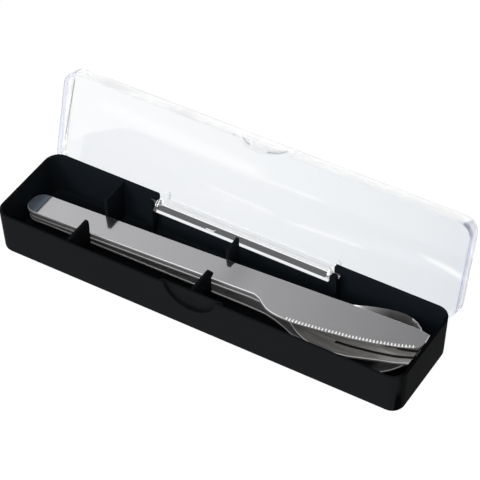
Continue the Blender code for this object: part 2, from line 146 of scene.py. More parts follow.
class Shader:
    """A material under construction: makes nodes, links them and ends in the output."""

    def __init__(self, name: str) -> None:
        """Start an empty material with Object coordinates."""
        self.material = bpy.data.materials.new(name)
        self.material.use_nodes = True
        self.tree = self.material.node_tree
        self.tree.nodes.clear()
        self.output = self.tree.nodes.new("ShaderNodeOutputMaterial")
        coordinates = self.tree.nodes.new("ShaderNodeTexCoord")
        self.object_coordinates = coordinates.outputs["Object"]

    def node(
        self, kind: str, settings: dict[str, Any] | None = None, **inputs: Any,
    ) -> bpy.types.Node:
        """Add a node.

        Args:
            kind: the node's type name.
            settings: attributes that are set before the sockets.
            **inputs: socket names, with _ for a space, to values, Values or sockets.

        Returns:
            The new node.
        """
        made = self.tree.nodes.new(kind)
        for key, value in (settings or {}).items():
            setattr(made, key, value)
        for key, value in inputs.items():
            self.feed(made.inputs[key.replace("_", " ")], value)
        return made

    def feed(self, socket: bpy.types.NodeSocket, value: Any) -> None:
        """Link or set one input socket."""
        if isinstance(value, Value):
            value = value.socket
        if isinstance(value, bpy.types.NodeSocket):
            self.tree.links.new(value, socket)
        elif isinstance(value, (tuple, list)) and len(value) == 3 and socket.type == "RGBA":
            socket.default_value = (*value, 1.0)
        else:
            socket.default_value = value

    def mapped(self, scale: Point, turn: Point = (0, 0, 0)) -> bpy.types.NodeSocket:
        """Object coordinates, turned and scaled."""
        node = self.node(
            "ShaderNodeMapping", Vector=self.object_coordinates, Scale=scale, Rotation=turn,
        )
        return node.outputs[0]

    def axes(self) -> tuple[Value, Value, Value]:
        """The object coordinates as three values, in metres."""
        split = self.node("ShaderNodeSeparateXYZ", Vector=self.object_coordinates)
        x, y, z = (Value(self.tree, socket) for socket in split.outputs)
        return x, y, z

    @staticmethod
    def size_of(value: Value) -> Value:
        """The value without its sign."""
        return value.at_least(value * -1.0)

    @staticmethod
    def hump(offset: Value, width: float) -> Value:
        """1 where the offset is 0, falling to 0 over the width, with a soft foot."""
        near = (1.0 - Shader.size_of(offset) / width).clamped()
        return near * near * (3.0 - near * 2.0)

    @staticmethod
    def step(offset: Value, width: float) -> Value:
        """0 before the offset, 1 after the width."""
        return (offset / width).clamped()

    @staticmethod
    def graph(value: Value, points: Sequence[Pair]) -> Value:
        """A function of a value that runs straight from point to point, level outside them.

        Args:
            value: what the function reads.
            points: pairs of the value and the result, in rising order of the value.

        Returns:
            The result.
        """
        slopes = (
            (value - xa).at_least(0.0).at_most(xb - xa) * ((yb - ya) / (xb - xa))
            for (xa, ya), (xb, yb) in zip(points, points[1:])
        )
        return Shader.total(slopes) + points[0][1]

    @staticmethod
    def total(parts: Iterable[Value]) -> Value:
        """The sum of some values."""
        return reduce(add, parts)

    def noise(
        self, scale: float, detail: float = 2.0, roughness: float = 0.5, vector: Any = None,
    ) -> Value:
        """A noise value between 0 and 1.

        Args:
            scale: waves per metre of the coordinates.
            detail: number of finer layers.
            roughness: share of the finer layers.
            vector: coordinates, the object's own by default.

        Returns:
            The noise factor.
        """
        source = self.object_coordinates if vector is None else vector
        node = self.node(
            "ShaderNodeTexNoise", Vector=source, Scale=scale, Detail=detail, Roughness=roughness,
        )
        return Value(self.tree, node.outputs[0])

    def blend(self, factor: Any, first: Colour, second: Colour) -> bpy.types.NodeSocket:
        """Mix two colours."""
        node = self.node("ShaderNodeMix", {"data_type": "RGBA"})
        self.feed(node.inputs[0], factor)
        self.feed(node.inputs[6], first)
        self.feed(node.inputs[7], second)
        return node.outputs[2]

    def bump(self, height: Value, distance: float, strength: float = 1.0) -> bpy.types.NodeSocket:
        """A normal bent by a height."""
        node = self.node("ShaderNodeBump", Strength=strength, Distance=distance, Height=height)
        return node.outputs[0]

    def principled(self, **inputs: Any) -> bpy.types.Node:
        """A Principled shader."""
        return self.node("ShaderNodeBsdfPrincipled", None, **inputs)

    def finish(self, surface: bpy.types.NodeSocket) -> bpy.types.Material:
        """Link the surface and return the material."""
        self.tree.links.new(surface, self.output.inputs["Surface"])
        return self.material


@dataclass(frozen=True)
class MouldedBlack:
    """Fine matte black moulding with a faint grain; painted shade deepens it in the tray's shaded
    places and painted light makes its inner walls paler.
    """

    name: str = "moulded_black"
    deep: Colour = (0.0090, 0.0098, 0.0113)
    worn: Colour = (0.0112, 0.0120, 0.0133)
    painted_wall_light: Colour = (0.0125, 0.0168, 0.0215)
    roughness: float = 0.5
    specular: float = 0.004
    grain_per_m: float = 3200.0
    grain_height: float = 0.012 * MM
    clouds_per_m: float = 32.0
    edge: float = 0.3 * MM
    right_from: float = 107.6 * MM
    right_soft: float = 1.2 * MM
    right_painted_shade: float = 0.58
    inner_half: Pair = (108.6 * MM, 24.6 * MM)
    floor: float = 1.2 * MM
    front_from: float = -4.0 * MM
    front_soft: float = 12.0 * MM
    front_wall: float = 23.6 * MM
    front_top: float = 17.0 * MM
    front_fade: float = 7.0 * MM
    front_painted_shade: float = 0.9
    rear_wall: Pair = (19.5 * MM, 4.0 * MM)
    ribs: Pair = (4.0 * MM, 6.0 * MM)
    rib_share: float = 0.6
    left_wall: Pair = (103.5 * MM, 3.0 * MM)
    left_share: float = 0.7
    painted_wall_light_share: float = 0.8

    def tone(self, shade: Shader, clouds: Value) -> bpy.types.NodeSocket:
        """The colour over the whole tray, with its painted shade and painted light.

        Args:
            shade: the material under construction.
            clouds: soft noise that varies the black.

        Returns:
            The colour's socket.
        """
        x, y, z = shade.axes()
        tone = shade.blend(clouds, self.deep, self.worn)
        # Painted shade: the right end face is darkened.
        right = shade.step(x - self.right_from, self.right_soft)
        tone = shade.blend(right * self.right_painted_shade, tone, BLACK)
        half_x, half_y = self.inner_half
        inside = shade.step(half_x - shade.size_of(x), self.edge)
        inside = inside * shade.step(half_y - shade.size_of(y), self.edge)
        inside = inside * shade.step(z - self.floor, self.edge)
        # Painted shade: the inside by the front wall, low down, is darkened.
        front = shade.step(self.front_from - y, self.front_soft)
        front = front * shade.step(y + self.front_wall, self.edge)
        front = front * shade.step(self.front_top - z, self.front_fade)
        tone = shade.blend(inside * front * self.front_painted_shade, tone, BLACK)
        # Painted light: the rear wall, the ribs and the left wall inside are paler and bluer.
        rear = shade.step(y - self.rear_wall[0], self.rear_wall[1])
        ribs = shade.step(y - self.ribs[0], self.ribs[1]) * self.rib_share
        left = shade.step(-self.left_wall[0] - x, self.left_wall[1]) * self.left_share
        pale = inside * rear.at_least(ribs).at_least(left)
        return shade.blend(pale * self.painted_wall_light_share, tone, self.painted_wall_light)

    def material(self) -> bpy.types.Material:
        """Build the material."""
        shade = Shader(self.name)
        grain = shade.noise(self.grain_per_m, 3.0, 0.6)
        clouds = shade.noise(self.clouds_per_m, 3.0, 0.55)
        rough = (clouds - 0.5) * 0.16 + (grain - 0.5) * 0.08 + self.roughness
        shader = shade.principled(
            Base_Color=self.tone(shade, clouds),
            Roughness=rough.clamped(),
            Specular_IOR_Level=self.specular,
            Normal=shade.bump(grain, self.grain_height, 0.6),
        )
        return shade.finish(shader.outputs[0])


@dataclass(frozen=True)
class Streak:
    """A soft pale band on the lid's panel, in millimetres along the panel and up it."""

    start: Pair
    end: Pair
    width: float
    weight: float
    fade_from: float = 5.0
    fade: float = 8.0

    def mask(self, shade: Shader, x: Value, up: Value) -> Value:
        """The band's strength at a place of the panel.

        Args:
            shade: the material under construction.
            x: place along the panel.
            up: place up the panel.

        Returns:
            A value from 0 to the band's weight.
        """
        (x0, s0), (x1, s1) = self.start, self.end
        middle = (x - x0) * ((s1 - s0) / (x1 - x0)) + s0
        ends = shade.step(x - x0 + self.fade_from, self.fade)
        ends = ends * shade.step(self.fade_from + x1 - x, self.fade)
        return shade.hump(up - middle, self.width) * ends * self.weight


class Side(Enum):
    """The half of a circle that an arc keeps, as the sign of its way up from the centre."""

    UPPER = 1
    LOWER = -1


@dataclass(frozen=True)
class ReflectionArc:
    """A painted dark reflection line on the lid: part of a circle, in millimetres on its panel."""

    centre: Pair
    radius: float
    left: float
    right: float
    weight: float = 1.0
    half: Side = Side.UPPER
    width: float = 0.5

    def mask(self, shade: Shader, x: Value, up: Value) -> Value:
        """The arc's strength at a place of the panel.

        Args:
            shade: the material under construction.
            x: place along the panel.
            up: place up the panel.

        Returns:
            A value from 0 to the arc's weight.
        """
        across, rise = x - self.centre[0], up - self.centre[1]
        ring = shade.hump((across * across + rise * rise) ** 0.5 - self.radius, self.width)
        ends = shade.step(x - self.left, 1.2) * shade.step(self.right - x, 0.8)
        kept = rise if self.half is Side.UPPER else self.centre[1] - up
        return ring * ends * shade.step(kept, 0.5) * self.weight


@dataclass(frozen=True)
class EndReflection:
    """The painted dark reflection line inside the lid's left end, in millimetres on its panel."""

    x: float = -109.2
    middle: float = 50.0
    lean: float = 0.06
    width: float = 0.5
    foot: Pair = (30.0, 6.0)
    head: Pair = (68.0, 3.0)

    def mask(self, shade: Shader, x: Value, up: Value) -> Value:
        """The line's strength at a place of the panel."""
        line = shade.hump(x - self.x - (up - self.middle) * self.lean, self.width)
        line = line * shade.step(up - self.foot[0], self.foot[1])
        return line * shade.step(self.head[0] - up, self.head[1])


@dataclass(frozen=True)
class ClearPlastic:
    """Clear glossy moulding: white at one end, greyer at the other as painted shade, lavender in the
    skirt.

    Its marks are laid out in millimetres: x along the panel, up it, and deep through it. The thin
    dark lines stand for reflections, so they keep their place along one sight line through the lid.
    """

    name: str = "clear_plastic"
    left: Colour = (0.84, 0.872, 0.897)
    right: Colour = (0.45, 0.515, 0.58)
    lower: Colour = (0.72, 0.765, 0.84)
    white: Colour = (0.975, 0.98, 0.985)
    lavender: Colour = (0.33, 0.37, 0.72)
    # Colour of the painted dark reflection lines.
    line: Colour = (0.01, 0.012, 0.02)
    flange_glow: Colour = (0.035, 0.035, 0.036)
    ior: float = 1.46
    roughness: float = 0.012
    body: float = 0.4
    highlight_body: float = 0.24
    reflection_body: float = 0.6
    lean_deg: float = 16.0
    panel_depth: float = 27.97
    left_edge: float = -115.0 * MM
    span: float = 225.0 * MM
    bend: float = 0.55
    waver: float = 0.12
    low_curve_waver: float = 3.0
    low_curve_soft: float = 1.6
    low_curve_share: float = 0.75
    streak_share: float = 0.85
    corner: Pair = (100.0 * MM, 65.1)
    rim: Pair = (7.8, 0.5)
    mouth_stripe: Pair = (4.4, 0.6)
    fine_stripe: Pair = (1.8, 1.1)
    fine_from: Pair = (50.0 * MM, 20.0 * MM)
    skirt_from: Pair = (1.5, 3.0)
    top_highlight: Pair = (3.7, 0.6)
    top_share: float = 0.9
    outline: tuple[float, float, float] = (9.72, 0.5, 0.6)
    end_line: tuple[float, float, float] = (8.1, 0.4, 0.22)
    top_line: tuple[float, float, float] = (4.7, 0.3, 0.12)
    flange: Pair = (26.2 * MM, 0.4 * MM)
    sight_along: float = -0.4827
    sight_turn: float = 0.001070
    sight_up: float = -0.5785
    dot: Pair = (-18.5, 69.1)
    dot_width: float = 0.5
    end_reflection: EndReflection = EndReflection()
    streaks: Sequence[Streak] = (
        Streak((-92.0, 58.3), (-3.0, 53.6), 6.5, 0.7),
        Streak((-27.2, 37.6), (5.1, 36.6), 1.5, 0.75),
        Streak((17.3, 35.4), (54.6, 37.3), 1.5, 0.75),
        Streak((0.0, 51.9), (29.1, 52.5), 1.3, 0.7),
        Streak((87.3, 44.7), (98.0, 43.6), 2.0, 1.0),
        Streak((98.0, 43.6), (108.4, 41.6), 2.4, 1.0),
    )
    arcs: Sequence[ReflectionArc] = (
        ReflectionArc((99.3, 60.0), 9.0, 101.7, 108.4),
        ReflectionArc((99.3, 60.0), 10.15, 102.4, 108.6, 0.6),
        ReflectionArc((-9.6, 72.0), 4.6, -14.4, -9.0, 0.8, Side.LOWER),
        ReflectionArc((-3.0, 88.0), 21.5, -0.5, 10.8, 0.8, Side.LOWER),
    )
    low_curve: Sequence[Pair] = (
        (-105.1, 34.4), (-93.3, 43.8), (-81.3, 49.9), (-66.7, 52.6),
        (-46.0, 51.1), (-14.6, 50.1), (40.0, 52.0),
    )

    def reflection_lines(self, shade: Shader, x: Value, up: Value, deep: Value) -> Value:
        """The painted dark reflection lines: the line at the left end, the arcs and the dot by the tab.

        Args:
            shade: the material under construction.
            x: place along the panel.
            up: place up the panel.
            deep: place through the lid.

        Returns:
            A mask.
        """
        ahead = self.panel_depth - deep
        x = x + ahead * (x * self.sight_turn + self.sight_along)
        up = up + ahead * self.sight_up
        end_reflection = self.end_reflection.mask(shade, x, up)
        arcs = shade.total(arc.mask(shade, x, up) for arc in self.arcs)
        # Painted reflection: a dark dot by the tab.
        dot = shade.hump(x - self.dot[0], self.dot_width) * shade.hump(up - self.dot[1], self.dot_width)
        return (end_reflection + arcs + dot).clamped()

    def edges(self, shade: Shader, round_off: Value, out: Value, rise: Value) -> Value:
        """Painted grey reflection lines along the skirt.

        Args:
            shade: the material under construction.
            round_off: distance from the corner's centre, or from the lines through it.
            out: its part along the panel.
            rise: its part up the panel.

        Returns:
            A mask.
        """
        (at, width, share), (end_at, end_width, end_share) = self.outline, self.end_line
        top_at, top_width, top_share = self.top_line
        outline = shade.hump(round_off - at, width) * share
        ends = shade.hump(round_off - end_at, end_width) * shade.step(out, 2.0) * end_share
        top = shade.hump(rise - top_at, top_width) * shade.step(3.0 - out, 2.0) * top_share
        return outline + ends + top

    def panel_tint(self, shade: Shader, x: Value, up: Value) -> bpy.types.NodeSocket:
        """The panel's colour, paler at the left and greyer to the right as painted shade, bluish grey
        below a wavy curve, with pale streaks.

        Args:
            shade: the material under construction.
            x: place along the lid in metres.
            up: place up the panel in millimetres.

        Returns:
            The colour's socket.
        """
        flow = shade.noise(16.0, 1.0, 0.4, shade.mapped((1.0, 1.0, 2.2), (0.0, 0.6, 0.3)))
        # Painted shade: greyer towards the right, over the plastic's own pale tint.
        along = ((x - self.left_edge) / self.span + (flow - 0.5) * self.waver).clamped()
        fade = along * along * self.bend + along * (1.0 - self.bend)
        clear = shade.blend(fade, self.left, self.right)
        across = x / MM
        # Bluish grey below a wavy curve, most at the left.
        under = shade.graph(across, self.low_curve) - up + (flow - 0.5) * self.low_curve_waver
        below = shade.step(under, self.low_curve_soft) * (1.0 - along)
        clear = shade.blend(below * self.low_curve_share, clear, self.lower)
        bands = shade.total(band.mask(shade, across, up) for band in self.streaks)
        return shade.blend(bands.clamped() * self.streak_share, clear, self.white)

    def material(self) -> bpy.types.Material:
        """Build the material."""
        shade = Shader(self.name)
        x, y, z = shade.axes()
        lean = math.radians(self.lean_deg)
        up = (y * math.sin(lean) + z * math.cos(lean)) / MM
        deep = (y * math.cos(lean) - z * math.sin(lean)) / MM
        clear = self.panel_tint(shade, x, up)
        out = (shade.size_of(x) - self.corner[0]).at_least(0.0) / MM
        rise = (up - self.corner[1]).at_least(0.0)
        round_off = (out * out + rise * rise) ** 0.5
        rim = shade.step(round_off - self.rim[0], self.rim[1])
        stripes = shade.step(self.panel_depth - self.mouth_stripe[0] - deep, self.mouth_stripe[1])
        fine = shade.hump(deep - self.panel_depth + self.fine_stripe[0], self.fine_stripe[1])
        fine = fine * shade.step(x - self.fine_from[0], self.fine_from[1])
        tinted = (stripes + fine) * shade.step(out - self.skirt_from[0], self.skirt_from[1])
        skirt = shade.blend(tinted.clamped(), self.white, self.lavender)
        # Painted highlight: a white, clearer band along the top of the panel.
        band = shade.step(rise - self.top_highlight[0], self.top_highlight[1]) * self.top_share
        tint = shade.blend(rim, shade.blend(band, clear, self.white), skirt)
        # Painted highlight: the flange is opaque white with a faint glow.
        near = shade.step(self.flange[0] - y, self.flange[1])
        # Painted reflections: the dark lines and the skirt's grey lines, kept off the flange.
        reflection_lines = self.reflection_lines(shade, x / MM, up, deep).at_least(self.edges(shade, round_off, out, rise))
        reflection_lines = reflection_lines * (1.0 - near)
        tint = shade.blend(reflection_lines, tint, self.line)
        body = near * (1.0 - self.body) + self.body - band * (1.0 - rim) * self.highlight_body
        shader = shade.principled(
            Base_Color=shade.blend(near, tint, self.white),
            Roughness=self.roughness,
            IOR=self.ior,
            Transmission_Weight=1.0,
            Alpha=(body + reflection_lines * self.reflection_body).clamped(),
            Emission_Color=shade.blend(near, BLACK, self.flange_glow),
            Emission_Strength=1.0,
        )
        return shade.finish(shader.outputs[0])


@dataclass(frozen=True)
class PaintedLightZone:
    """A part of a steel piece with a painted shade or painted highlight: a box in x and y with soft
    edges, in metres.
    """

    low: Pair
    high: Pair
    soft: Pair
    share: float
    tone: Colour

    def mask(self, shade: Shader, x: Value, y: Value) -> Value:
        """The zone's strength at a place of the piece."""
        zone = shade.step(x - self.low[0], self.soft[0]) * shade.step(self.high[0] - x, self.soft[1])
        zone = zone * shade.step(y - self.low[1], self.soft[0])
        return zone * shade.step(self.high[1] - y, self.soft[1]) * self.share


@dataclass(frozen=True)
class SatinSteel:
    """Polished stainless steel: a mirror under a hazy veil, with fine marks along the piece, painted
    shade and highlights in boxes, and a painted lighter end.
    """

    name: str = "satin_steel"
    pale: Colour = (0.64, 0.632, 0.64)
    dull: Colour = (0.58, 0.573, 0.58)
    painted_end_sheen: Colour = (0.7, 0.84, 0.98)
    sharp: float = 0.09
    broad: float = 0.5
    haze: float = 0.2
    line_height: float = 0.003 * MM
    line_scale: Point = (60.0, 5200.0, 5200.0)
    streak_scale: Point = (26.0, 620.0, 620.0)
    streak_turn: Point = (0.0, 0.0, -0.12)
    streak_contrast: float = 2.6
    clouds_per_m: float = 42.0
    left_end: float = -99.2 * MM
    left_soft: float = 1.5 * MM
    left_haze: float = 0.0
    drawn: float = 0.0
    veil_metal: float = 1.0
    painted_light_zones: Sequence[PaintedLightZone] = ()

    def material(self) -> bpy.types.Material:
        """Build the material."""
        shade = Shader(self.name)
        lines = shade.noise(1.0, 2.0, 0.5, shade.mapped(self.line_scale))
        cloud = shade.noise(self.clouds_per_m, 4.0, 0.6)
        streaks = shade.noise(1.0, 2.0, 0.6, shade.mapped(self.streak_scale, self.streak_turn))
        contrast = ((streaks - 0.5) * self.streak_contrast + 0.5).clamped()
        mix = contrast * self.drawn + cloud * (1.0 - self.drawn)
        colour = shade.blend(mix, self.dull, self.pale)
        x, y, _ = shade.axes()
        # Painted shade and painted highlights, box by box.
        for zone in self.painted_light_zones:
            colour = shade.blend(zone.mask(shade, x, y), colour, zone.tone)
        # Painted reflection: the left end is lighter and bluer under a hazier veil.
        end = shade.step(self.left_end - x, self.left_soft)
        normal = shade.bump(lines, self.line_height, 0.5)
        rough = (cloud - 0.5) * 0.03 + (lines - 0.5) * 0.03 + self.sharp
        mirror = shade.principled(
            Base_Color=colour, Metallic=1.0, Roughness=rough.clamped(), Normal=normal,
        )
        veil = shade.principled(
            Base_Color=shade.blend(end, colour, self.painted_end_sheen),
            Metallic=self.veil_metal,
            Roughness=self.broad,
            Normal=normal,
        )
        share = (cloud - 0.5) * 0.08 + (lines - 0.5) * 0.04 + self.haze + end * self.left_haze
        mixed = shade.node("ShaderNodeMixShader")
        for socket, value in zip(mixed.inputs, (share.clamped(), mirror.outputs[0], veil.outputs[0])):
            shade.feed(socket, value)
        return shade.finish(mixed.outputs[0])


@dataclass(frozen=True)
class BlankedSteel:
    """The sheared sides of a sheet: a painted highlight glows along the upper edge, with painted shade
    below it.

    `top` and `within` are in millimetres over x: the height of the sheet's top, and the y behind
    which a side belongs to a slot and shows no line. `reach` and `back` end the line in x and y.
    """

    name: str = "blanked_steel"
    colour: Colour = (0.66, 0.66, 0.665)
    dark: Colour = (0.34, 0.345, 0.36)
    slot_shade: Colour = (0.07, 0.05, 0.042)
    shine: Colour = (0.42, 0.42, 0.425)
    metallic: float = 0.4
    roughness: float = 0.55
    mark_scale: Point = (70.0, 2600.0, 2600.0)
    mark_height: float = 0.01 * MM
    top: Sequence[Pair] = ((-107.0, 12.29), (107.0, 23.31))
    thick: float = 2.5
    foot: float = 0.55
    lip: float = 0.22
    lip_soft: float = 0.06
    left_shine: float = 0.3
    left_fade: float = 80.0
    reach: Pair = (-98.0, 200.0)
    back: float = 99.0
    within: Sequence[Pair] = ((-1.0, 99.0), (1.0, 99.0))

    def material(self) -> bpy.types.Material:
        """Build the material."""
        shade = Shader(self.name)
        marks = shade.noise(1.0, 3.0, 0.6, shade.mapped(self.mark_scale))
        x, y, z = (axis / MM for axis in shade.axes())
        under = (shade.graph(x, self.top) - z) / self.thick
        # Painted highlight: a glowing line along the upper edge, fainter at the left.
        rising = shade.step(x - self.reach[0], self.left_fade) * (1.0 - self.left_shine)
        line = shade.step(self.lip - under, self.lip_soft) * (rising + self.left_shine)
        line = line * shade.step(self.reach[1] - x, 6.0).at_least(shade.step(y - self.back, 0.5))
        # Painted shade: sides that face into a slot are dark brown and show no line.
        hidden = shade.step(y - shade.graph(x, self.within), 0.3)
        line = line * (1.0 - hidden)
        plain = shade.blend(hidden, shade.blend(marks, self.dark, self.colour), self.slot_shade)
        shader = shade.principled(
            # Painted shade: darker towards the foot of the side.
            Base_Color=shade.blend(shade.step(under - 0.1, 0.9) * self.foot, plain, BLACK),
            Emission_Color=shade.blend(line, BLACK, self.shine),
            Emission_Strength=1.0,
            Metallic=self.metallic,
            Roughness=((marks - 0.5) * 0.2 + self.roughness).clamped(),
            Normal=shade.bump(marks, self.mark_height, 0.4),
        )
        return shade.finish(shader.outputs[0])


@dataclass(frozen=True)
class FreshCut:
    """The bright ground scoops of the serration, with a painted glow for their highlights."""

    name: str = "fresh_cut"
    colour: Colour = (0.93, 0.93, 0.91)

    def material(self) -> bpy.types.Material:
        """Build the material."""
        shade = Shader(self.name)
        grain = shade.noise(2200.0, 2.0, 0.5)
        shader = shade.principled(
            Base_Color=self.colour,
            Metallic=0.15,
            Roughness=((grain - 0.5) * 0.2 + 0.45).clamped(),
            # Painted highlight: the scoops glow.
            Emission_Color=self.colour,
            Emission_Strength=0.32,
        )
        return shade.finish(shader.outputs[0])


@dataclass(frozen=True)
class PaleGround:
    """A plain white ground."""

    name: str = "pale_ground"
    colour: Colour = (0.06, 0.06, 0.061)
    glow: float = 0.985

    def material(self) -> bpy.types.Material:
        """Build the material."""
        shade = Shader(self.name)
        shader = shade.principled(
            Base_Color=self.colour,
            Roughness=0.9,
            Specular_IOR_Level=0.0,
            Emission_Color=(1.0, 1.0, 1.0),
            Emission_Strength=self.glow,
        )
        return shade.finish(shader.outputs[0])


class Workshop:
    """Mesh helpers that every sub-assembly uses."""

    @staticmethod
    def merged(node: str, name: str) -> bpy.types.Object:
        """Copy a CAD node with its loose triangles joined.

        Args:
            node: the CAD node.
            name: the copy's name.

        Returns:
            A new object in the scene.
        """
        bm = bmesh.new()
        bm.from_mesh(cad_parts[node].data)
        bmesh.ops.remove_doubles(bm, verts=bm.verts, dist=2e-6)
        bmesh.ops.dissolve_limit(bm, angle_limit=math.radians(0.6), verts=bm.verts, edges=bm.edges)
        mesh = bpy.data.meshes.new(name)
        bm.to_mesh(mesh)
        bm.free()
        made = bpy.data.objects.new(name, mesh)
        bpy.context.scene.collection.objects.link(made)
        return made

    @staticmethod
    def bevelled(piece: bpy.types.Object, width: float, segments: int = 2, angle: float = 34.0) -> None:
        """Round a piece's sharp edges.

        Args:
            piece: the object.
            width: the bevel's width in metres.
            segments: faces across the bevel.
            angle: edges sharper than this many degrees are rounded.
        """
        bevel = piece.modifiers.new("edges", "BEVEL")
        bevel.width = width
        bevel.segments = segments
        bevel.limit_method = "ANGLE"
        bevel.angle_limit = math.radians(angle)
        bevel.use_clamp_overlap = True

    @staticmethod
    def baked(piece: bpy.types.Object, smooth_deg: float = 32.0) -> bpy.types.Object:
        """Apply a piece's modifiers and shade it smooth up to an angle.

        Args:
            piece: the object.
            smooth_deg: edges sharper than this stay sharp.

        Returns:
            The same object with a plain mesh.
        """
        Workshop.settled(piece)
        piece.data.shade_smooth()
        piece.data.set_sharp_from_angle(angle=math.radians(smooth_deg))
        even = piece.modifiers.new("flat_faces", "WEIGHTED_NORMAL")
        even.keep_sharp = True
        even.weight = 100
        Workshop.settled(piece)
        return piece

    @staticmethod
    def settled(piece: bpy.types.Object) -> None:
        """Replace a piece's mesh by the result of its modifiers."""
        graph = bpy.context.evaluated_depsgraph_get()
        mesh = bpy.data.meshes.new_from_object(piece.evaluated_get(graph))
        piece.modifiers.clear()
        old = piece.data
        piece.data = mesh
        bpy.data.meshes.remove(old)

    @staticmethod
    def sorted_faces(
        piece: bpy.types.Object,
        looks: Sequence[bpy.types.Material],
        pick: Callable[[bpy.types.MeshPolygon], int],
    ) -> None:
        """Give each face one of several materials.

        Args:
            piece: the object.
            looks: the materials.
            pick: function from a face to the number of its material.
        """
        piece.data.materials.clear()
        for look in looks:
            piece.data.materials.append(look)
        for face in piece.data.polygons:
            face.material_index = pick(face)

    @staticmethod
    def dress(piece: bpy.types.Object, look: Any, body: Body, slot: Slot, *nodes: str) -> None:
        """Give a finished piece its material and body, and hide the CAD nodes that it stands for."""
        if look is not None:
            piece.data.materials.clear()
            piece.data.materials.append(look)
        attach(piece, body.value)
        if nodes:
            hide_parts(*nodes)
        LOG.info("%s: %d faces on %s", piece.name, len(piece.data.polygons), body.value)


@dataclass
class Tray:
    """The black tray with its cradles, posts and thumb recess."""

    finish: MouldedBlack = field(default_factory=MouldedBlack)
    edge: float = 0.12 * MM

    def build(self) -> None:
        """Make and dress the tray."""
        body = Workshop.merged("tray", "tray_body")
        Workshop.bevelled(body, self.edge)
        Workshop.baked(body)
        Workshop.dress(body, self.finish.material(), Body.CASE, Slot.TRAY, "tray")


@dataclass
class Lid:
    """The clear lid with its tab, flange, ears and pins."""

    finish: ClearPlastic = field(default_factory=ClearPlastic)
    edge: float = 0.1 * MM

    def build(self) -> None:
        """Make and dress the lid."""
        shell = Workshop.merged("lid", "lid_shell")
        Workshop.bevelled(shell, self.edge)
        Workshop.baked(shell)
        shell.visible_shadow = False
        shell.visible_glossy = False
        Workshop.dress(shell, self.finish.material(), Body.LID, Slot.LID, "lid")


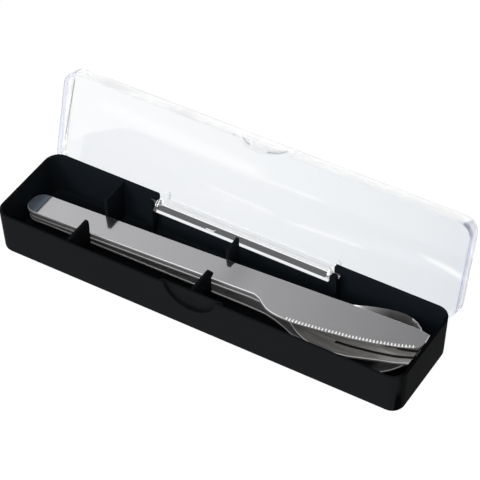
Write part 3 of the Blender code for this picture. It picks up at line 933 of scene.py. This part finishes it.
@dataclass
class Serration:
    """Scoops ground into the knife's edge, spaced by a rule along its curve."""

    edge_points: Sequence[Pair] = (
        (44.5, -13.9), (52.0, -13.7), (64.0, -12.3), (76.1, -10.7),
        (87.5, -8.4), (98.7, -5.3), (104.2, -3.2),
    )
    pitch: float = 1.62 * MM
    radius: float = 0.44 * MM
    length: float = 3.4 * MM
    lean_deg: float = 13.0
    depth: float = 0.36 * MM
    sides: int = 14

    def cutters(self, top: Callable[[float], float]) -> bpy.types.Object:
        """Rods along the edge, made by a Geometry Nodes tree.

        Args:
            top: function from x in metres to the height of the blade's top.

        Returns:
            One mesh object with all rods, for a Boolean.
        """
        guide = bpy.data.curves.new("edge_guide", "CURVE")
        guide.dimensions = "3D"
        spline = guide.splines.new("POLY")
        spline.points.add(len(self.edge_points) - 1)
        for point, (x, y) in zip(spline.points, self.edge_points):
            point.co = (x * MM, y * MM, top(x * MM), 1.0)
        carrier = bpy.data.objects.new("serration_rods", guide)
        bpy.context.scene.collection.objects.link(carrier)
        modifier = carrier.modifiers.new("scoops", "NODES")
        modifier.node_group = self.tree()
        for item in modifier.node_group.interface.items_tree:
            if item.item_type == "SOCKET" and item.in_out == "INPUT" and item.name != "Edge":
                modifier[item.identifier] = {
                    "Pitch": self.pitch, "Radius": self.radius, "Length": self.length,
                    "Lean": math.radians(self.lean_deg), "Depth": self.depth,
                }[item.name]
        graph = bpy.context.evaluated_depsgraph_get()
        mesh = bpy.data.meshes.new_from_object(carrier.evaluated_get(graph))
        bpy.data.objects.remove(carrier)
        made = bpy.data.objects.new("serration_cut", mesh)
        bpy.context.scene.collection.objects.link(made)
        return made

    def tree(self) -> bpy.types.NodeTree:
        """The tree: resample the edge, stand a leaning rod at each point, realise them."""
        tree = bpy.data.node_groups.new("serration", "GeometryNodeTree")
        face = tree.interface
        face.new_socket("Edge", in_out="INPUT", socket_type="NodeSocketGeometry")
        for name in ("Pitch", "Radius", "Length", "Lean", "Depth"):
            face.new_socket(name, in_out="INPUT", socket_type="NodeSocketFloat")
        face.new_socket("Rods", in_out="OUTPUT", socket_type="NodeSocketGeometry")
        nodes, links = tree.nodes, tree.links
        given, result = nodes.new("NodeGroupInput"), nodes.new("NodeGroupOutput")
        resample = nodes.new("GeometryNodeResampleCurve")
        resample.mode = "LENGTH"
        links.new(given.outputs["Edge"], resample.inputs["Curve"])
        links.new(given.outputs["Pitch"], resample.inputs["Length"])
        rod = nodes.new("GeometryNodeMeshCylinder")
        rod.inputs["Vertices"].default_value = self.sides
        links.new(given.outputs["Radius"], rod.inputs["Radius"])
        links.new(given.outputs["Length"], rod.inputs["Depth"])
        tangent = nodes.new("GeometryNodeInputTangent")
        across = nodes.new("FunctionNodeAlignEulerToVector")
        across.axis = "X"
        across.pivot_axis = "Z"
        links.new(tangent.outputs[0], across.inputs["Vector"])
        lay = nodes.new("FunctionNodeRotateEuler")
        lay.space = "LOCAL"
        turn = nodes.new("ShaderNodeCombineXYZ")
        angle = Value(tree, given.outputs["Lean"]) + math.pi / 2
        links.new(angle.socket, turn.inputs[0])
        links.new(across.outputs[0], lay.inputs["Rotation"])
        links.new(turn.outputs[0], lay.inputs["Rotate By"])
        lift = nodes.new("GeometryNodeSetPosition")
        rise = nodes.new("ShaderNodeCombineXYZ")
        height = Value(tree, given.outputs["Radius"]) - Value(tree, given.outputs["Depth"])
        links.new(height.socket, rise.inputs[2])
        links.new(resample.outputs[0], lift.inputs["Geometry"])
        links.new(rise.outputs[0], lift.inputs["Offset"])
        place = nodes.new("GeometryNodeInstanceOnPoints")
        links.new(lift.outputs[0], place.inputs["Points"])
        links.new(rod.outputs["Mesh"], place.inputs["Instance"])
        links.new(lay.outputs[0], place.inputs["Rotation"])
        real = nodes.new("GeometryNodeRealizeInstances")
        links.new(place.outputs[0], real.inputs[0])
        dress = nodes.new("GeometryNodeSetMaterial")
        links.new(real.outputs[0], dress.inputs["Geometry"])
        links.new(dress.outputs[0], result.inputs["Rods"])
        return tree


@dataclass
class Cutlery:
    """The stacked knife, fork and spoon."""

    finish: SatinSteel = SatinSteel(
        left_haze=0.8,
        painted_light_zones=(
            # Painted shade: a darker patch on the knife around its middle.
            PaintedLightZone((-0.002, -0.02), (0.020, 0.03), (0.012, 0.012), 0.2, (0.06, 0.06, 0.06)),
        ),
    )
    fork_finish: SatinSteel = SatinSteel(
        "pressed_steel",
        pale=(0.9, 0.89, 0.87), dull=(0.48, 0.46, 0.435),
        sharp=0.14, broad=0.6, haze=0.6, drawn=0.9, veil_metal=0.64,
        painted_light_zones=(
            # Painted highlight: the front tine tips are paler.
            PaintedLightZone((0.088, -0.0165), (0.112, -0.003), (0.006, 0.003), 0.85, (1.0, 0.99, 0.96)),
        ),
    )
    spoon_finish: SatinSteel = SatinSteel(
        "bowl_steel",
        sharp=0.14, broad=0.55, haze=0.4,
        painted_light_zones=(
            # Painted shade: the bowl under the blade and the slot below the fork are darkened.
            PaintedLightZone((0.068, 0.004), (0.112, 0.034), (0.012, 0.004), 0.82, (0.06, 0.058, 0.057)),
            PaintedLightZone((0.060, -0.0165), (0.090, -0.003), (0.004, 0.004), 0.92, (0.04, 0.034, 0.03)),
        ),
    )
    side_finish: BlankedSteel = BlankedSteel(reach=(-98.0, 46.0), back=2.0)
    fork_side: BlankedSteel = BlankedSteel(
        "fork_side",
        top=(
            (-107.0, 9.49), (22.0, 16.13), (34.0, 15.85), (44.0, 14.87), (54.0, 13.58), (62.0, 13.29),
            (70.0, 13.6), (78.0, 14.32), (88.0, 15.43), (98.0, 17.3), (106.0, 20.06),
        ),
        thick=1.4, foot=0.62, lip=0.4, shine=(0.34, 0.34, 0.34),
        within=(
            (-107.0, 99.0), (62.0, 99.0), (62.5, -12.2), (78.0, -11.3), (90.0, -9.1), (106.0, -7.7),
        ),
    )
    spoon_side: BlankedSteel = BlankedSteel(
        "spoon_side",
        top=(
            (-107.0, 7.75), (-92.0, 8.45), (-60.0, 8.95), (0.0, 9.6), (30.0, 9.8), (46.0, 8.9),
            (60.0, 9.5), (76.0, 11.8), (90.0, 14.3), (105.0, 16.4),
        ),
        thick=1.4, foot=0.8, lip=0.42, shine=(0.17, 0.17, 0.175),
    )
    cut_finish: FreshCut = field(default_factory=FreshCut)
    serration: Serration = field(default_factory=Serration)
    knife_edge: float = 0.28 * MM
    sheet_edge: float = 0.25 * MM
    knife_side: float = 0.9
    sheet_side: Pair = (0.5, 0.68)
    side_least: float = -0.35
    knife_height: float = 17.8 * MM
    tilt: float = 0.0515

    def blade_top(self, x: float) -> float:
        """Height of the knife's top face at x."""
        return self.knife_height + self.tilt * x

    def build(self) -> None:
        """Make and dress the three pieces."""
        steel = self.finish.material()
        knife = Workshop.merged("knife", "knife_body")
        Workshop.bevelled(knife, self.knife_edge, 2, 60.0)
        cutter = self.serration.cutters(self.blade_top)
        cut = knife.modifiers.new("serration", "BOOLEAN")
        cut.operation = "DIFFERENCE"
        cut.solver = "EXACT"
        cut.material_mode = "TRANSFER"
        cut.object = cutter
        side, fresh = self.side_finish.material(), self.cut_finish.material()
        knife.data.materials.append(steel)
        cutter.data.materials.clear()
        cutter.data.materials.append(fresh)
        Workshop.baked(knife, 20.0)
        bpy.data.objects.remove(cutter)
        found = [look.name for look in knife.data.materials]
        scoops = {f.index for f in knife.data.polygons if found[f.material_index] == fresh.name}
        LOG.info("%d scoop faces", len(scoops))
        Workshop.sorted_faces(
            knife,
            (steel, side, fresh),
            lambda face: 2 if face.index in scoops else self.is_side(face, self.knife_side),
        )
        Workshop.dress(knife, None, Body.CASE, Slot.STEEL, "knife")
        sheets = (
            ("fork", self.fork_finish, self.fork_side, self.sheet_side[0]),
            ("spoon", self.spoon_finish, self.spoon_side, self.sheet_side[1]),
        )
        for node, top, edge, most in sheets:
            piece = Workshop.merged(node, f"{node}_body")
            Workshop.bevelled(piece, self.sheet_edge, 2, 50.0)
            Workshop.baked(piece, 40.0)
            looks = (top.material(), edge.material())
            Workshop.sorted_faces(piece, looks, lambda face, most=most: self.is_side(face, most))
            Workshop.dress(piece, None, Body.CASE, Slot.STEEL, node)

    def is_side(self, face: bpy.types.MeshPolygon, most: float) -> int:
        """1 for a face that stands nearly upright or rounds the upper edge, else 0."""
        return int(self.side_least < face.normal.z < most)


@dataclass(frozen=True)
class SoftBox:
    """A large area light."""

    name: str
    place: Point
    aim: Point
    size: Pair
    power: float
    colour: Colour = (1.0, 1.0, 1.0)

    def build(self) -> None:
        """Add the light, hidden from the camera."""
        light = bpy.data.lights.new(self.name, "AREA")
        light.shape = "RECTANGLE"
        light.size, light.size_y = self.size
        light.energy = self.power
        light.color = self.colour
        made = bpy.data.objects.new(self.name, light)
        made.location = self.place
        toward = Vector(self.aim) - Vector(self.place)
        made.rotation_euler = toward.to_track_quat("-Z", "Y").to_euler()
        made.visible_camera = False
        bpy.context.scene.collection.objects.link(made)


@dataclass
class Studio:
    """Ground, sky, soft lights and the camera."""

    ground: PaleGround = field(default_factory=PaleGround)
    ground_half: float = 3.0
    sky: Colour = (0.975, 0.985, 1.0)
    ceiling: float = 0.10
    ceiling_from: Pair = (0.02, 0.5)
    sweep: float = 0.95
    front_glow: float = 0.35
    front_top: Pair = (0.9, 0.3)
    card_slope: float = 3.6
    card_level: float = -1.10
    card_most: float = 0.95
    card_back: Pair = (0.3, 0.15)
    card_foot: Pair = (0.3, 0.2)
    card_head: Pair = (0.95, 0.15)
    through: float = 1.0
    through_slope: float = 3.4
    through_from: float = -0.515
    through_most: float = 0.6
    through_foot: Pair = (0.3, 0.1)
    boxes: Sequence[SoftBox] = (
        SoftBox("front_left", (-0.57, -1.2, 0.74), (0.0, 0.0, 0.0), (0.6, 0.4), 7.0),
        SoftBox("top_front", (0.2, -0.9, 1.3), (0.0, 0.0, 0.0), (0.8, 0.8), 7.0),
    )
    lens: float = 178.44
    sensor: float = 36.0
    azimuth: float = 31.770
    elevation: float = 43.524
    roll: float = -1.0756
    distance: float = 1120.46 * MM
    target: Point = (0.0, 9.21 * MM, 12.0 * MM)
    shift_right: float = 5.234 * MM
    shift_up: float = 12.703 * MM

    def build(self) -> None:
        """Make the studio."""
        self.build_ground()
        self.build_sky()
        for box in self.boxes:
            box.build()
        self.build_camera()
        bpy.context.scene.view_settings.view_transform = "Standard"

    def build_ground(self) -> None:
        """A flat sheet under the case."""
        half = self.ground_half
        mesh = bpy.data.meshes.new("ground")
        corners = [(-half, -half, 0), (half, -half, 0), (half, half, 0), (-half, half, 0)]
        mesh.from_pydata(corners, [], [(0, 1, 2, 3)])
        mesh.materials.append(self.ground.material())
        made = bpy.data.objects.new("ground", mesh)
        bpy.context.scene.collection.objects.link(made)

    @staticmethod
    def above(value: Value, border: Pair) -> Value:
        """0 up to the border's place, rising to 1 over its width."""
        return ((value - border[0]) / border[1]).clamped()

    @staticmethod
    def under(value: Value, border: Pair) -> Value:
        """0 from the border's place on, rising to 1 over its width below it."""
        return ((border[0] - value) / border[1]).clamped()

    def build_sky(self) -> None:
        """A sweep that darkens towards the ceiling, and a card behind that fades to the right.

        Rays that pass through the lid see a plain white sky instead, a little darker to the right.
        """
        world = bpy.data.worlds.new("studio_sky")
        world.use_nodes = True
        tree = world.node_tree
        background = tree.nodes["Background"]
        background.inputs["Color"].default_value = (*self.sky, 1.0)
        coordinates = tree.nodes.new("ShaderNodeTexCoord")
        split = tree.nodes.new("ShaderNodeSeparateXYZ")
        tree.links.new(coordinates.outputs["Generated"], split.inputs[0])
        x, y, z = (Value(tree, socket) for socket in split.outputs)
        rise = self.above(z, self.ceiling_from)
        card = (x * -self.card_slope + self.card_level).at_least(0.0).at_most(self.card_most)
        card = card * self.above(y, self.card_back)
        card = card * self.above(z, self.card_foot) * self.under(z, self.card_head)
        front = (y * -1.0).clamped() * self.under(z, self.front_top) * self.front_glow
        lit = rise * self.ceiling + (1.0 - rise) * self.sweep + card + front * rise
        path = tree.nodes.new("ShaderNodeLightPath")
        through = Value(tree, path.outputs["Is Transmission Ray"])
        fall = ((x - self.through_from) * self.through_slope).clamped().at_most(self.through_most)
        fall = fall * self.above(z, self.through_foot)
        strength = lit * (1.0 - through) + through * (self.through - fall)
        tree.links.new(strength.socket, background.inputs["Strength"])
        bpy.context.scene.world = world

    def build_camera(self) -> None:
        """The camera, placed by its angles about the target."""
        azimuth, elevation, roll = (math.radians(v) for v in (self.azimuth, self.elevation, self.roll))
        flat = math.cos(elevation)
        back = Vector((math.sin(azimuth) * flat, -math.cos(azimuth) * flat, math.sin(elevation)))
        level = Vector((math.cos(azimuth), math.sin(azimuth), 0.0))
        upright = back.cross(level)
        right = level * math.cos(roll) + upright * math.sin(roll)
        up = upright * math.cos(roll) - level * math.sin(roll)
        place = Vector(self.target) + right * self.shift_right + up * self.shift_up
        place = place + back * self.distance
        data = bpy.data.cameras.new("camera")
        data.lens = self.lens
        data.sensor_width = self.sensor
        data.clip_start = 0.05
        made = bpy.data.objects.new("camera", data)
        made.matrix_world = Matrix.Translation(place) @ Matrix((right, up, back)).transposed().to_4x4()
        bpy.context.scene.collection.objects.link(made)
        bpy.context.scene.camera = made


def main() -> None:
    """Build the pieces in order."""
    logging.basicConfig(level=logging.INFO, format="%(name)s: %(message)s")
    Studio().build()
    Tray().build()
    Lid().build()
    Cutlery().build()


if __name__ == "__main__":
    main()
